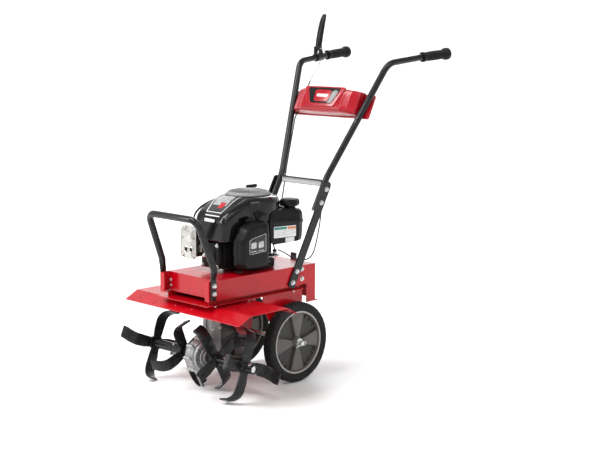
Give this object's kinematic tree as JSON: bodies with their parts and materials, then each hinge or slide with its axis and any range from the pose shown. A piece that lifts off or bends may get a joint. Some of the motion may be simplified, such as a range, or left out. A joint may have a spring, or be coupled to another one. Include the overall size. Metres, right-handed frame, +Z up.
{
  "type": "tiller",
  "caption": "Front-tine garden tiller with a vertical-shaft petrol engine on a sheet-steel deck, four bolo tine sets, two transport wheels and high handlebars.",
  "frame": {"origin": "on the ground plane, under the middle of the overall length and width", "axes": "+Z up, -Y towards the tines and bumper at the front, +Y towards the handle grips, +X towards the machine's left side"},
  "size_m": [0.637, 1.2178, 1.3827],
  "materials": {
    "red_paint": "gloss powder coat",
    "black_paint": "satin powder coat",
    "cast_black": "satin black paint on cast alloy",
    "bright_steel": "zinc plated, satin",
    "exhaust_steel": "bare pressed sheet",
    "tyre_rubber": "matte",
    "hub_plastic": "fine texture",
    "grip_rubber": "matte",
    "red_plastic": "gloss",
    "black_gloss": "gloss",
    "black_plastic": "matte",
    "grey_plastic": "matte",
    "filter_paper": "pleated",
    "cast_alloy": "as cast",
    "cast_iron": "rough",
    "bronze": "machined",
    "tine_steel": "satin black coat on forged steel"
  },
  "bodies": {
    "frame": {"deck_frame": "red_paint", "lower_tray": "red_paint", "tine_shield": "red_paint", "wheel_bracket_left": "red_paint", "wheel_bracket_right": "red_paint", "stake_bracket": "red_paint", "wheel_axle": "bright_steel", "lever_pin": "bright_steel", "idler_spring": "bright_steel", "spark_plug": "bright_steel", "muffler": "exhaust_steel", "muffler_guard": "exhaust_steel", "bumper": "black_paint", "handle_strap_left": "black_paint", "handle_strap_right": "black_paint", "upper_handle_left": "black_paint", "upper_handle_right": "black_paint", "handle_brace": "black_paint", "lever_bracket": "black_paint", "crankcase": "cast_black", "cylinder_block": "cast_black", "grip_left": "grip_rubber", "grip_right": "grip_rubber", "drive_belt": "grip_rubber", "clutch_cable": "grip_rubber", "engine_cable": "grip_rubber", "console_shell": "red_plastic", "console_panel": "black_gloss", "blower_shroud": "black_gloss", "cooling_grille": "grey_plastic", "fuel_tank": "black_plastic", "air_filter_housing": "black_plastic", "oil_filler_tube": "black_plastic", "carburettor": "cast_alloy", "gear_case_left": "cast_alloy", "gear_case_right": "cast_alloy"},
    "wheel_left": {"tyre_left": "tyre_rubber", "wheel_hub_left": "hub_plastic"},
    "wheel_right": {"tyre_right": "tyre_rubber", "wheel_hub_right": "hub_plastic"},
    "tine_rotor": {"tine_shaft": "bright_steel", "worm_wheel": "bronze", "tine_inner_left": "tine_steel", "tine_outer_left": "tine_steel", "tine_inner_right": "tine_steel", "tine_outer_right": "tine_steel"},
    "worm": {"worm_shaft": "bright_steel", "driven_pulley": "bright_steel"},
    "crank": {"crankshaft": "bright_steel", "flywheel": "cast_iron", "engine_pulley": "bright_steel"},
    "lever": {"clutch_lever": "black_plastic"},
    "idler_swing_arm": {"idler_arm": "bright_steel"},
    "idler_roller": {"idler_pulley": "bright_steel"},
    "fuel_filler_cap": {"fuel_cap": "black_plastic"},
    "oil_dipstick_cap": {"oil_cap": "black_plastic"},
    "filter_cover": {"air_filter_cover": "black_plastic", "air_filter_element": "filter_paper"},
    "recoil_handle": {"starter_grip": "grip_rubber"},
    "stake": {"drag_stake": "black_paint"}
  },
  "joints": [
    {"name": "wheel_left_spin", "type": "hinge", "parent": "frame", "child": "wheel_left", "pos_m": [0.16, -0.137, 0.1524], "axis": [1, 0, 0], "continuous": true},
    {"name": "wheel_right_spin", "type": "hinge", "parent": "frame", "child": "wheel_right", "pos_m": [-0.16, -0.137, 0.1524], "axis": [1, 0, 0], "continuous": true},
    {"name": "tine_spin", "type": "hinge", "parent": "frame", "child": "tine_rotor", "pos_m": [0, -0.467, 0.13043], "axis": [1, 0, 0], "continuous": true},
    {"name": "worm_spin", "type": "hinge", "parent": "frame", "child": "worm", "pos_m": [0, -0.415, 0.4], "axis": [0, 0, 1], "continuous": true},
    {"name": "crank_spin", "type": "hinge", "parent": "frame", "child": "crank", "pos_m": [0, -0.229, 0.5], "axis": [0, 0, 1], "continuous": true},
    {"name": "clutch_lever_pull", "type": "hinge", "parent": "frame", "child": "lever", "pos_m": [-0.25212, 0.4021, 1.2375], "axis": [0.9942, 0.1078, 0.0065], "range_deg": [-68, 0], "stiffness_Nm_per_rad": 1.5, "springref_deg": 11.46},
    {"name": "idler_arm_swing", "type": "hinge", "parent": "frame", "child": "idler_swing_arm", "pos_m": [-0.092, -0.229, 0.41], "axis": [0, 0, 1], "range_deg": [0, 10.5]},
    {"name": "idler_pulley_spin", "type": "hinge", "parent": "idler_swing_arm", "child": "idler_roller", "pos_m": [-0.086, -0.309, 0.4], "axis": [0, 0, 1], "continuous": true},
    {"name": "fuel_cap_lift", "type": "slide", "parent": "frame", "child": "fuel_filler_cap", "axis": [0, 0, 1], "range_m": [0, 0.06]},
    {"name": "oil_cap_lift", "type": "slide", "parent": "frame", "child": "oil_dipstick_cap", "axis": [-0.7071, 0, 0.7071], "range_m": [0, 0.05]},
    {"name": "filter_cover_pull", "type": "slide", "parent": "frame", "child": "filter_cover", "axis": [1, 0, 0], "range_m": [0, 0.12]},
    {"name": "starter_pull", "type": "slide", "parent": "frame", "child": "recoil_handle", "axis": [0, 0.6, 0.8], "range_m": [0, 0.6], "stiffness_N_per_m": 8, "springref_m": -0.5},
    {"name": "drag_stake_height", "type": "slide", "parent": "frame", "child": "stake", "axis": [0, 0, 1], "range_m": [-0.064, 0.096]}
  ],
  "couplings": [
    {"joint": "worm_spin", "follows": "tine_spin", "ratio": 24},
    {"joint": "idler_arm_swing", "follows": "clutch_lever_pull", "ratio": -0.154}
  ]
}
